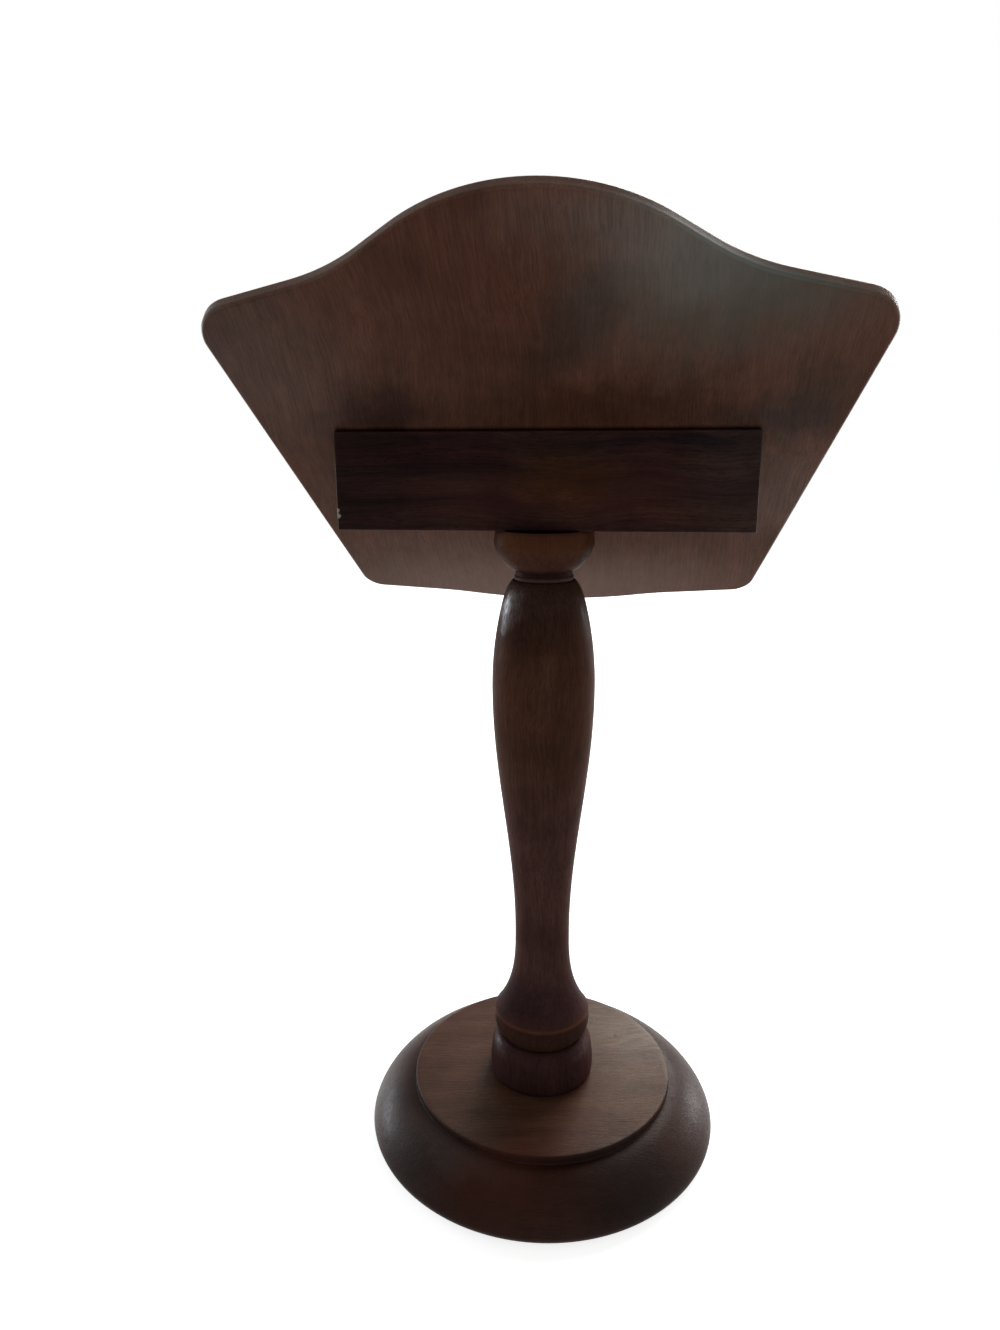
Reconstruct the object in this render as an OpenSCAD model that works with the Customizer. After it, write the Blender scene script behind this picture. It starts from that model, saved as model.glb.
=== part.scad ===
// Tabletop cookbook stand: a turned column on a turned base carries a wedge block, and the
// block holds a leaning book board with a ledge and a lip along its lower front.
// Millimetres, +Z up. The origin is the centre of the underside, on the column's axis.
// The reader sits on the -Y side, so the board leans back towards +Y.

/* [Overall] */
// Height of the whole stand, up to the top of the leaning board. The vase takes up the difference
stand_h = 425.5; // [400:0.5:480]

/* [Base] */
// Diameter of the turned base at its widest line
base_d = 172; // [150:1:220]
// Thickness of the base from its underside to the raised flat
base_h = 27; // [24:0.5:36]
// Diameter of the raised flat that the column stands on
flat_d = 128; // [90:1:134]
// Height of the small step from the domed skirt up to the raised flat
step_h = 4; // [2:0.5:6]
// Width of the shelf between the step and the dome
step_shelf = 1; // [0.5:0.5:3]
// Radius of the rounded lower edge of the skirt
base_edge_r = 4; // [1:0.5:6]
// Fullness of the dome: 1 is a plain cone, 2 is a quarter of an ellipse
dome_power = 1.45; // [1.2:0.05:2.5]

/* [Felt] */
// Thickness of the felt disc glued under the base
felt_t = 1.5; // [1:0.5:3]
// How far the felt's edge lies inside the base's flat underside
felt_inset = 5; // [2:1:15]

/* [Column plinth and bead] */
// Largest diameter of the column's plinth
plinth_d = 51.4; // [46:0.2:60]
// How far the plinth draws in at its foot and at its shoulder line, on the radius
plinth_draw = 0.5; // [0.2:0.1:1.5]
// Height of the plinth's barrel side
plinth_side_h = 11.5; // [8:0.5:18]
// Height of the plinth's rounded shoulder
plinth_shoulder_h = 10; // [6:0.5:14]
// Diameter at the bottom of the groove over the plinth
groove_d = 39.6; // [34:0.2:44]
// Width of the groove over the plinth
groove_w = 1.2; // [0.6:0.2:3]
// Largest diameter of the bead under the flare
bead_d = 47.2; // [44.4:0.2:52]
// Height of the bead from the groove to its fullest line
bead_mid = 7.8; // [6:0.2:10]
// Height of the bead above its fullest line
bead_top = 4; // [2:0.2:5]

/* [Column stem and vase] */
// Diameter of the flare's sharp lower edge
flare_d = 46.8; // [42:0.2:52]
// Height of the flare from its edge to the thinnest line of the stem
flare_h = 43; // [36:0.5:60]
// How late the flare opens: a higher power keeps the stem slender for longer
flare_power = 3; // [2:0.1:4]
// Diameter of the stem at its thinnest line
stem_d = 26.4; // [20:0.2:32]
// Largest diameter of the vase
vase_d = 47.2; // [38:0.2:54]
// Height from the fullest line of the vase to its top
vase_upper_h = 49.6; // [45:0.2:70]
// Diameter of the vase at its top, under the ring
vase_top_d = 28.4; // [27.4:0.2:34]
// Share of the vase's narrowing that its rounded shoulder makes
shoulder_share = 0.2; // [0.1:0.05:0.4]
// How late the shoulder rounds over: a higher power makes it tighter
shoulder_power = 16; // [8:1:30]

/* [Column neck and cup] */
// Diameter of the thin ring at the neck
ring_d = 26.8; // [26:0.2:27.4]
// Height of the thin ring
ring_h = 2.2; // [1.6:0.2:4]
// Diameter at the bottom of the hollow over the ring
neck_d = 25.4; // [22:0.2:25.8]
// Height of the hollow between the ring and the cup
neck_h = 2; // [0.4:0.2:3]
// Largest diameter of the cup under the block
cup_d = 44.6; // [42:0.2:50]
// Height of the cup's curved lower part
cup_bowl_h = 12.5; // [10:0.5:20]
// Height of the cup's upright rim
cup_rim_h = 6.2; // [4:0.2:10]
// How much the rim draws in towards the cup's top, on the radius
cup_draw = 0.7; // [0.2:0.1:1.5]

/* [Joints of the column] */
// Diameter of the round tenon at the foot of the column
foot_tenon_d = 20; // [14:1:24]
// Length of the tenon at the foot
foot_tenon_l = 14.5; // [8:0.5:16]
// Diameter of the round tenon at the top of the column
head_tenon_d = 16; // [12:1:18]
// Length of the tenon at the top
head_tenon_l = 16; // [10:0.5:18]
// Radial gap that the glue fills round a tenon
glue_gap = 0.1; // [0.05:0.05:0.3]
// Free depth under the end of a tenon
end_gap = 0.5; // [0.3:0.1:1.5]

/* [Wedge block] */
// Width of the wedge block across the back of the board
block_w = 179; // [130:1:188]
// Height of the wedge block
block_h = 42; // [34:0.5:43]
// Distance of the block's upright rear face behind the column's axis
block_back = 14; // [12.5:0.5:20]
// How far the back of the board passes in front of the cup, at the cup's top
cup_gap = 7.7; // [6.7:0.1:14]

/* [Book board] */
// Lean of the board back from upright, in degrees
lean = 45; // [30:1:45]
// Thickness of the board
board_t = 6.5; // [5:0.5:12]
// Height of the board down its middle, measured up its slope
board_h = 233; // [200:1:280]
// Width across the upper corners, before they are rounded
shoulder_w = 266; // [226:1:300]
// Width across the lower corners, before they are rounded
foot_w = 197; // [191:1:220]
// How far the board reaches below the block, measured down its slope
board_drop = 65; // [50:1:80]
// Radius of the crown at the middle of the top edge
crown_r = 88; // [70:1:100]
// Steepest slope of the top edge beside the crown, in degrees
crown_slope = 34; // [20:1:38]
// Length of the straight run between the crown and the hollow
crown_run = 16; // [2:1:20]
// Radius of the hollow beside the crown
hollow_r = 93; // [60:1:110]
// Slope of the top edge towards the upper corners, in degrees
shoulder_slope = 15; // [5:1:18]
// Rounding of the upper corners
upper_corner_r = 16; // [6:1:24]
// Radius of the belly at the middle of the bottom edge
belly_r = 210; // [150:5:300]
// Steepest slope of the bottom edge beside the belly, in degrees
belly_slope = 11.5; // [8:0.5:13]
// Radius of the hollow beside the belly
foot_hollow_r = 180; // [100:5:220]
// Slope of the bottom edge towards the lower corners, in degrees
foot_slope = 5.7; // [3:0.1:7]
// Rounding of the lower corners
lower_corner_r = 11; // [4:1:14]

/* [Ledge and lip] */
// Height of the ledge's top over the lowest point of the board, measured up its slope
ledge_up = 27; // [24:1:40]
// Width of the ledge along the board
ledge_w = 182; // [150:1:186]
// Thickness of the ledge
ledge_t = 10; // [8:0.5:12]
// Depth of the ledge from the board's face to the lip
ledge_d = 26; // [20:1:40]
// Depth of the trench in the board that houses the ledge's back edge
trench_depth = 2; // [1:0.5:3]
// How much the housed edge draws in towards its end, top and bottom, so that it starts easily
edge_draw = 0.4; // [0.2:0.1:1]
// Gap round the housed edge at the mouth of its trench, for glue
trench_gap = 0.1; // [0.05:0.05:0.2]
// Thickness of the lip along the ledge's front
lip_t = 7; // [5:0.5:10]
// Height of the lip over the ledge's top
lip_up = 9; // [6:0.5:14]

/* [Screw up through the base] */
// Shank diameter of the base screw
base_screw_d = 5.5; // [4:0.5:7]
// Length of the base screw under its head
base_screw_l = 45; // [35:1:60]
// Head diameter of the base screw
base_head_d = 10.5; // [9:0.5:12]
// Head height of the base screw
base_head_h = 3.2; // [2:0.2:3.4]
// Diameter of the washer under the head
washer_d = 15; // [13:0.5:17]
// Thickness of the washer
washer_t = 1.2; // [0.8:0.2:1.6]
// Diameter of the counterbore under the base
counterbore_d = 18; // [17.5:0.5:22]
// Depth of the counterbore under the base
counterbore_h = 6; // [5.2:0.2:7]
// Length of the cone at a screw's tip
tip_l = 6; // [3:0.5:8]
// Radial gap where a screw passes through or into wood or a washer
screw_gap = 0.05; // [0.05:0.05:0.2]

/* [Screws through the board] */
// Shank diameter of the board screws
board_screw_d = 3.8; // [3:0.2:4.6]
// Length of the board screws from the face of the head to the tip
board_screw_l = 25; // [20:1:28]
// Head diameter of the board screws
board_head_d = 7.4; // [6.4:0.2:9]
// Distance between the two board screws
board_screw_gap = 120; // [60:5:150]
// Width of the slot in every screw head
slot_w = 1; // [0.6:0.2:1.4]
// Depth of the slot in every screw head
slot_h = 1; // [0.6:0.2:1.4]

/* [Pins of the ledge] */
// Diameter of the pins driven through the board into the ledge
pin_d = 1.8; // [1.4:0.2:2.6]
// Length of the pins
pin_l = 24; // [16:1:24]
// How deep the pins are set below the back of the board
pin_sink = 1; // [0.5:0.5:1.5]
// Distance from one pin to the next
pin_gap = 70; // [40:5:80]

/* [Hidden] */
$fn = 96;
// Small overshoot of a cutting solid past the face that it opens
over = 1;
// Steps along one turned or sawn curve
steps = 14;
// Directions of an arc's start or end, in degrees
up = 90;
down = 270;

// The block stands where its board reaches the stand's full height
block_z = stand_h - (board_h - board_drop) * cos(lean) - board_t * sin(lean);

// Heights of the seats, from the table upwards
base_z = felt_t;
flat_z = base_z + base_h;
counterbore_z = base_z + counterbore_h;
tenon_bore_l = foot_tenon_l + end_gap;
screw_z = counterbore_z - washer_t;

// Heights of the column's mouldings, up from its foot and down from its top
groove_z = plinth_side_h + plinth_shoulder_h;
bead_z = groove_z + groove_w;
flare_z = bead_z + bead_mid + bead_top;
stem_z = flare_z + flare_h;
column_h = block_z - flat_z;
rim_z = column_h - cup_rim_h;
cup_z = rim_z - cup_bowl_h;
neck_z = cup_z - neck_h;
ring_z = neck_z - ring_h;
vase_z = ring_z - vase_upper_h;
swell_h = vase_z - stem_z;

// The block's foot is deep enough to carry the back of the board clear of the cup
block_d = block_back + cup_d / 2 + cup_gap;
block_front = block_back - block_d;

// Colours of the finished wood, felt and screws
dark_walnut = [0.17, 0.1, 0.075];
mid_walnut = [0.25, 0.16, 0.12];
felt_green = [0.1, 0.16, 0.12];
steel = [0.6, 0.6, 0.58];
brass = [0.68, 0.53, 0.27];

function unit(v) = v / norm(v);

// Points of an arc round the centre c, from angle a0 to angle a1
function arc(c, r, a0, a1) =
    [for (i = [0:steps]) let (a = a0 + (a1 - a0) * i / steps) c + r * [cos(a), sin(a)]];

// Points of part of an upright ellipse round the centre c, with half-axes a and b
function oval(c, a, b, a0, a1) =
    [for (i = [0:steps]) let (t = a0 + (a1 - a0) * i / steps) c + [a * cos(t), b * sin(t)]];

// Points of the arc that rounds the corner v between the points before and after it
function rounded(before, v, after, r) =
    let (
        p = unit(before - v),
        q = unit(after - v),
        half = acos(p * q) / 2,
        c = v + unit(p + q) * r / sin(half),
        s = v + p * r / tan(half) - c,
        e = v + q * r / tan(half) - c
    )
    arc(c, r, atan2(s.y, s.x), atan2(e.y, e.x));

function last(points) = points[len(points) - 1];

// Fullness of a curve that rises from 0 to 1 with level ends
function ease(t) = (1 - cos(180 * t)) / 2;

// Dome of the skirt, from its widest line up to the shelf
dome_w = base_d / 2 - flat_d / 2 - step_shelf;
dome_h = base_h - base_edge_r - step_h;
dome = [
    for (i = [0:steps * 2])
        let (t = i / (steps * 2))
        [
            base_d / 2 - dome_w * (1 - pow(1 - pow(t, dome_power), 1 / dome_power)),
            base_edge_r + dome_h * t
        ]
];

base_profile = concat(
    [[0, 0]],
    arc([base_d / 2 - base_edge_r, base_edge_r], base_edge_r, -90, 0),
    dome,
    [[flat_d / 2, base_h - step_h], [flat_d / 2, base_h], [0, base_h]]
);

plinth_side = [
    for (i = [0:steps])
        let (t = i / steps)
        [plinth_d / 2 - plinth_draw * pow(2 * t - 1, 2), plinth_side_h * t]
];
plinth_shoulder = oval(
    [groove_d / 2, plinth_side_h], plinth_d / 2 - plinth_draw - groove_d / 2, plinth_shoulder_h, 0, 90
);
bead = oval(
    [groove_d / 2, bead_z + bead_mid], bead_d / 2 - groove_d / 2, bead_mid, -90, asin(bead_top / bead_mid)
);
flare = [
    for (i = [0:steps * 2])
        let (t = i / (steps * 2))
        [stem_d / 2 + (flare_d - stem_d) / 2 * pow(1 - t, flare_power), flare_z + flare_h * t]
];
swell = [
    for (i = [1:steps * 2])
        let (t = i / (steps * 2))
        [stem_d / 2 + (vase_d - stem_d) / 2 * ease(t), stem_z + swell_h * t]
];
vase_upper = [
    for (i = [1:steps * 2])
        let (
            t = 1 - pow(1 - i / (steps * 2), 1.5),
            narrowing = (1 - shoulder_share) * t * t + shoulder_share * pow(t, shoulder_power)
        )
        [vase_d / 2 - (vase_d - vase_top_d) / 2 * narrowing, vase_z + vase_upper_h * t]
];
ring = oval([neck_d / 2, ring_z + ring_h / 2], (ring_d - neck_d) / 2, ring_h / 2, -90, 90);
cup_bowl = [
    for (i = [0:steps])
        let (t = 1 - i / steps)
        [neck_d / 2 + (cup_d - neck_d) / 2 * pow(1 - pow(t, 1.5), 1 / 1.5), rim_z - cup_bowl_h * t]
];
cup_rim = [
    for (i = [1:steps / 2])
        let (t = i / (steps / 2))
        [cup_d / 2 - cup_draw * t * t, rim_z + cup_rim_h * t]
];

column_profile = concat(
    [[0, -foot_tenon_l], [foot_tenon_d / 2, -foot_tenon_l], [foot_tenon_d / 2, 0]],
    plinth_side, plinth_shoulder, bead, flare, swell, vase_upper, ring, cup_bowl, cup_rim,
    [[head_tenon_d / 2, column_h], [head_tenon_d / 2, column_h + head_tenon_l], [0, column_h + head_tenon_l]]
);

// Right half of the board's outline, from the crown round to the belly
crown = arc([0, board_h - crown_r], crown_r, up, up - crown_slope);
run_end = last(crown) + crown_run * [cos(crown_slope), -sin(crown_slope)];
hollow = arc(
    run_end + hollow_r * [sin(crown_slope), cos(crown_slope)], hollow_r, down - crown_slope, down - shoulder_slope
);
hollow_end = last(hollow);
upper_corner = [
    shoulder_w / 2,
    hollow_end.y - (shoulder_w / 2 - hollow_end.x) * tan(shoulder_slope)
];
belly = arc([0, belly_r], belly_r, down, down + belly_slope);
foot_hollow = arc(
    last(belly) + foot_hollow_r * [sin(belly_slope), -cos(belly_slope)],
    foot_hollow_r, up + belly_slope, up + foot_slope
);
foot_hollow_end = last(foot_hollow);
lower_corner = [
    foot_w / 2,
    foot_hollow_end.y + (foot_w / 2 - foot_hollow_end.x) * tan(foot_slope)
];

function reversed(points) = [for (i = [len(points) - 1:-1:0]) points[i]];

board_half = concat(
    crown, hollow,
    rounded(hollow_end, upper_corner, lower_corner, upper_corner_r),
    rounded(upper_corner, lower_corner, foot_hollow_end, lower_corner_r),
    reversed(foot_hollow), reversed(belly)
);
board_outline = concat(board_half, [for (p = reversed(board_half)) if (p.x > 0.001) [-p.x, p.y]]);

// Middle of the slanted face of the block, measured up the board from its lowest point
board_screw_up = board_drop + block_h / cos(lean) / 2;

// Section of the ledge from its lip to its housed edge, with the board's face at x = 0 and its top at y = 0
ledge_section = [
    [-ledge_d, -ledge_t],
    [0, -ledge_t],
    [trench_depth, edge_draw - ledge_t],
    [trench_depth, -edge_draw],
    [0, 0],
    [-ledge_d, 0]
];

// Board frame: x runs along the board, -y out of its front, z up its slope from its lowest point
module on_board() {
    translate([0, block_front, block_z])
        rotate([-lean, 0, 0])
            translate([0, 0, -board_drop])
                children();
}

// Bar of rectangular section along the board, from its front y, its foot z, its depth and its height
module bar(w, y, z, d, h) {
    translate([-w / 2, y, z])
        cube([w, d, h]);
}

// Straight bore or shank from z0 to z1 on the vertical axis
module post(d, z0, z1) {
    translate([0, 0, z0])
        cylinder(d = d, h = z1 - z0);
}

module at_board_screws() {
    for (side = [-1, 1])
        on_board()
            translate([side * board_screw_gap / 2, -board_t, board_screw_up])
                rotate([-90, 0, 0])
                    children();
}

module at_ledge_pins() {
    for (side = [-1:1])
        on_board()
            translate([side * pin_gap, -pin_sink, ledge_up - ledge_t / 2])
                rotate([90, 0, 0])
                    children();
}

// Countersunk screw along +z, with the face of its head at z = 0. A gap above 0 widens it for its hole
module countersunk(gap = 0) {
    head_h = (board_head_d - board_screw_d) / 2;
    rotate_extrude()
        polygon([
            [0, 0],
            [board_head_d / 2 + gap, 0],
            [board_screw_d / 2 + gap, head_h],
            [board_screw_d / 2 + gap, board_screw_l - tip_l / 2 + gap],
            [0, board_screw_l + gap]
        ]);
}

module screw_hole() {
    countersunk(screw_gap);
    post(board_head_d + 2 * screw_gap, -over, 0);
}

module pin_hole() {
    post(pin_d + 2 * screw_gap, -pin_sink - over, pin_l + end_gap);
}

module trench() {
    on_board()
        bar(
            ledge_w + 2 * trench_gap,
            -board_t - over,
            ledge_up - ledge_t - trench_gap,
            trench_depth + over,
            ledge_t + 2 * trench_gap
        );
}

module base_disc() {
    color(dark_walnut)
        difference() {
            translate([0, 0, base_z])
                rotate_extrude($fn = 180)
                    polygon(base_profile);
            post(foot_tenon_d + 2 * glue_gap, flat_z - tenon_bore_l, flat_z + over);
            post(base_screw_d + 2 * screw_gap, base_z, flat_z);
            post(counterbore_d, base_z - over, counterbore_z);
        }
}

module base_felt() {
    color(felt_green)
        post(base_d - 2 * base_edge_r - 2 * felt_inset, 0, felt_t);
}

module base_screw() {
    color(steel)
        difference() {
            union() {
                post(base_head_d, screw_z - base_head_h, screw_z);
                post(base_screw_d, screw_z, screw_z + base_screw_l - tip_l);
                translate([0, 0, screw_z + base_screw_l - tip_l])
                    cylinder(d1 = base_screw_d, d2 = 0, h = tip_l);
            }
            translate([-base_head_d, -slot_w / 2, screw_z - base_head_h - over])
                cube([2 * base_head_d, slot_w, slot_h + over]);
        }
}

module base_washer() {
    color(steel)
        difference() {
            post(washer_d, screw_z, counterbore_z);
            post(base_screw_d + 2 * screw_gap, screw_z - over, counterbore_z + over);
        }
}

module column() {
    color(dark_walnut)
        difference() {
            translate([0, 0, flat_z])
                rotate_extrude()
                    polygon(column_profile);
            post(
                base_screw_d + 2 * screw_gap,
                flat_z - foot_tenon_l - over,
                screw_z + base_screw_l + end_gap
            );
        }
}

module wedge_block() {
    color(dark_walnut)
        difference() {
            translate([0, block_front, block_z])
                bar(block_w, 0, 0, block_d, block_h);
            on_board()
                bar(2 * block_w, -2 * block_h, 0, 2 * block_h, board_drop + 3 * block_h);
            post(head_tenon_d + 2 * glue_gap, block_z - over, block_z + head_tenon_l + end_gap);
            at_board_screws()
                screw_hole();
        }
}

module book_board() {
    color(mid_walnut)
        difference() {
            on_board()
                rotate([90, 0, 0])
                    linear_extrude(board_t)
                        polygon(board_outline);
            trench();
            at_board_screws()
                screw_hole();
            at_ledge_pins()
                pin_hole();
        }
}

module board_screws() {
    color(brass)
        at_board_screws()
            difference() {
                countersunk();
                translate([-board_head_d, -slot_w / 2, -over])
                    cube([2 * board_head_d, slot_w, slot_h + over]);
            }
}

module book_ledge() {
    color(dark_walnut)
        difference() {
            on_board()
                translate([-ledge_w / 2, -board_t, ledge_up])
                    rotate([90, 0, 90])
                        linear_extrude(ledge_w)
                            polygon(ledge_section);
            at_ledge_pins()
                pin_hole();
        }
}

module ledge_pins() {
    color(steel)
        at_ledge_pins() {
            post(pin_d, 0, pin_l - pin_d);
            translate([0, 0, pin_l - pin_d])
                cylinder(d1 = pin_d, d2 = 0, h = pin_d);
        }
}

module ledge_lip() {
    color(dark_walnut)
        on_board()
            translate([0, -board_t - ledge_d - lip_t, ledge_up]) {
                bar(ledge_w, 0, -ledge_t, lip_t, ledge_t + lip_up - lip_t / 2);
                translate([-ledge_w / 2, lip_t / 2, lip_up - lip_t / 2])
                    rotate([0, 90, 0])
                        cylinder(d = lip_t, h = ledge_w);
            }
}

base_disc();
base_felt();
base_screw();
base_washer();
column();
wedge_block();
book_board();
board_screws();
book_ledge();
ledge_pins();
ledge_lip();
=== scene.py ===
import math

import bmesh
import bpy
from mathutils import Euler, Matrix, Vector


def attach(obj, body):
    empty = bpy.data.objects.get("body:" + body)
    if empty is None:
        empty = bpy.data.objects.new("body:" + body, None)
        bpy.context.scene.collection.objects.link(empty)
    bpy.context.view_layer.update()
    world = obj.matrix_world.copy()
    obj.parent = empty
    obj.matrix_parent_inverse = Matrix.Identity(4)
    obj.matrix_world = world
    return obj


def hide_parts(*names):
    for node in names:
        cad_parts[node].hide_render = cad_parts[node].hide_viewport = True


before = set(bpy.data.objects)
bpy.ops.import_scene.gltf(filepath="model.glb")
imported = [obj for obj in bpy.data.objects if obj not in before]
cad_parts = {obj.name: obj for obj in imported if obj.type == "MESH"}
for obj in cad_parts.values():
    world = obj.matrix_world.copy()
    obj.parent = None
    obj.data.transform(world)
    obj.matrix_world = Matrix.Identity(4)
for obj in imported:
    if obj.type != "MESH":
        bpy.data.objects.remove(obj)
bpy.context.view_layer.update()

# The turned base: a disc of stained hardwood about 27 mm thick, faced and shaped on the lathe.
# A raised flat with a small crisp step stands over a domed skirt. A counterbore underneath
# takes the head of the screw that holds the column.
mm = 0.001  # sizes are given in millimetres and angles in degrees
felt_thick = 1.5
bore_radius = 9
bore_top = 7.5
underside_radius = 80.5
base_radius = 86
base_foot_round = 4
skirt_foot = felt_thick + base_foot_round
skirt_tall = 19
skirt_top = skirt_foot + skirt_tall
skirt_drawn_in = 21
skirt_curl = 1.45
flat_radius = 64
flat_up = 28.5
step_round = 0.8
plinth_seat = 24


def turned(name, stations, sides=160):
    """A solid turned round the z axis through its (radius, height) stations, in millimetres."""
    bpy.ops.object.select_all(action="DESELECT")
    radius, height = stations[0]
    bpy.ops.mesh.primitive_circle_add(
        vertices=sides, radius=radius * mm, fill_type="NGON", location=(0, 0, height * mm)
    )
    piece = bpy.context.object
    piece.name = name
    bpy.ops.object.transform_apply(location=True, rotation=True, scale=True)
    bpy.ops.object.mode_set(mode="EDIT")
    bpy.ops.mesh.select_all(action="SELECT")
    for wide, high in stations[1:]:
        rise = (0, 0, (high - height) * mm)
        bpy.ops.mesh.extrude_region_move(
            TRANSFORM_OT_translate={"value": rise, "orient_type": "GLOBAL"}
        )
        bpy.ops.transform.resize(
            value=(wide / radius, wide / radius, 1), center_override=(0, 0, high * mm)
        )
        radius, height = wide, high
    bpy.ops.mesh.select_all(action="SELECT")
    bpy.ops.mesh.normals_make_consistent(inside=False)
    bpy.ops.object.mode_set(mode="OBJECT")
    bpy.ops.object.shade_smooth_by_angle(angle=math.radians(40))
    return piece


def steps_to_one(count):
    """The numbers above 0 and up to 1, in so many equal steps."""
    return [step / count for step in range(1, count + 1)]


def quarter(centre, across, up, start, end, steps):
    """Stations along part of an upright ellipse, from one angle to another in degrees."""
    stations = []
    for t in [0] + steps_to_one(steps):
        angle = math.radians(start + (end - start) * t)
        stations.append((centre[0] + across * math.cos(angle), centre[1] + up * math.sin(angle)))
    return stations


def place(tree, kind, feeds=(), **settings):
    """Adds a node. feeds gives each input, by name or number, a value or what drives it."""
    node = tree.nodes.new(kind)
    for setting, value in settings.items():
        setattr(node, setting, value)
    for socket, value in dict(feeds).items():
        if isinstance(value, bpy.types.NodeSocket):
            tree.links.new(value, node.inputs[socket])
        else:
            node.inputs[socket].default_value = value
    return node


def new_group(name, inputs, outputs):
    """An empty shader group with these named sockets, and its input and output nodes."""
    group = bpy.data.node_groups.new(name, "ShaderNodeTree")
    for direction, sockets in (("INPUT", inputs), ("OUTPUT", outputs)):
        for label, kind in sockets:
            group.interface.new_socket(label, in_out=direction, socket_type="NodeSocket" + kind)
    return group, group.nodes.new("NodeGroupInput").outputs, group.nodes.new("NodeGroupOutput")


def on_object(tree):
    """The place on the object, in metres."""
    return place(tree, "ShaderNodeTexCoord").outputs["Object"]


def new_material(name):
    """A material, its node tree, its surface shader and the place on the object in metres."""
    material = bpy.data.materials.new(name)
    material.use_nodes = True
    tree = material.node_tree
    return material, tree, tree.nodes["Principled BSDF"], on_object(tree)


def calculate(tree, operation, *values):
    """Numbers put together one after another by one of Blender's math operations."""
    result = values[0]
    for value in values[1:]:
        node = place(tree, "ShaderNodeMath", {0: result, 1: value}, operation=operation)
        result = node.outputs[0]
    return result


def times(tree, *values):
    """Numbers multiplied."""
    return calculate(tree, "MULTIPLY", *values)


def plus(tree, *values):
    """Numbers added."""
    return calculate(tree, "ADD", *values)


def remap(tree, value, low, high, to_low=0.0, to_high=1.0):
    """A number stretched from one range to another and clamped."""
    ranges = {0: value, 1: low, 2: high, 3: to_low, 4: to_high}
    return place(tree, "ShaderNodeMapRange", ranges).outputs[0]


def move(tree, operation, first, second):
    """Two vectors put together by one of Blender's vector operations."""
    node = place(tree, "ShaderNodeVectorMath", {0: first, 1: second}, operation=operation)
    return node.outputs[0]


def noise(tree, vector, scale, detail, roughness=0.5, distortion=0.0):
    """The outputs of a cloudy noise: Fac is a number and Color three of them."""
    return place(tree, "ShaderNodeTexNoise", {
        "Vector": vector, "Scale": scale, "Detail": detail, "Roughness": roughness,
        "Distortion": distortion,
    }).outputs


def stretched_noise(tree, vector, stretch, **noise_settings):
    """A noise drawn out along the grain, which runs along x."""
    along = move(tree, "MULTIPLY", vector, (stretch, 1, 1))
    return noise(tree, along, **noise_settings)["Fac"]


def ruffled(tree, vector, scale, detail, roughness, reach):
    """A vector pushed to and fro by a noise, by up to half of reach along each axis."""
    push = noise(tree, vector, scale, detail, roughness)["Color"]
    push = move(tree, "SUBTRACT", push, (0.5, 0.5, 0.5))
    return move(tree, "ADD", vector, move(tree, "MULTIPLY", push, reach))


def blend_colour(tree, amount, first, second, mode="MIX"):
    """Two colours mixed by an amount."""
    feeds = {0: amount, 6: first, 7: second}
    return place(tree, "ShaderNodeMix", feeds, data_type="RGBA", blend_type=mode).outputs[2]


# Grain of the stained hardwood: broad figure, fine fibres and short dark pores along x, and a
# cloudy stain. The vector is in centimetres.
grain_group, grain_in, grain_out = new_group(
    "hardwood_grain",
    [("Vector", "Vector"), ("Dark", "Color"), ("Middle", "Color"), ("Light", "Color"),
     ("Figure", "Float"), ("Pores", "Float"), ("Cloud", "Float")],
    [("Color", "Color"), ("Roughness", "Float"), ("Height", "Float"), ("Sunken", "Float")],
)
swayed = ruffled(
    grain_group, grain_in["Vector"], scale=0.18, detail=2, roughness=0.5, reach=(0, 1.1, 1.1)
)
figure = stretched_noise(
    grain_group, swayed, stretch=0.07, scale=1.5, detail=6, roughness=0.62, distortion=0.25
)
figure = times(grain_group, remap(grain_group, figure, 0.36, 0.66), grain_in["Figure"])
fibre = stretched_noise(grain_group, swayed, stretch=0.035, scale=13, detail=4, roughness=0.7)
fibre = remap(grain_group, fibre, 0.38, 0.64)
pore = stretched_noise(grain_group, swayed, stretch=0.09, scale=26, detail=2, roughness=0.5)
pore = times(grain_group, remap(grain_group, pore, 0.58, 0.68), grain_in["Pores"])
cloud = noise(grain_group, grain_in["Vector"], scale=0.33, detail=3, roughness=0.6)["Fac"]
cloud = times(grain_group, remap(grain_group, cloud, 0.42, 0.66), grain_in["Cloud"])
wood = blend_colour(grain_group, figure, grain_in["Middle"], grain_in["Light"])
for darkened in (times(grain_group, fibre, 0.36), cloud, times(grain_group, pore, 0.55)):
    wood = blend_colour(grain_group, darkened, wood, grain_in["Dark"])
grain_group.links.new(wood, grain_out.inputs["Color"])
dullness = plus(
    grain_group, times(grain_group, fibre, 0.07), times(grain_group, cloud, 0.1),
    times(grain_group, pore, 0.12), 0.34,
)
grain_group.links.new(dullness, grain_out.inputs["Roughness"])
relief = plus(grain_group, times(grain_group, fibre, -0.35), times(grain_group, pore, -0.8))
grain_group.links.new(relief, grain_out.inputs["Height"])
grain_group.links.new(fibre, grain_out.inputs["Sunken"])

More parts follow.
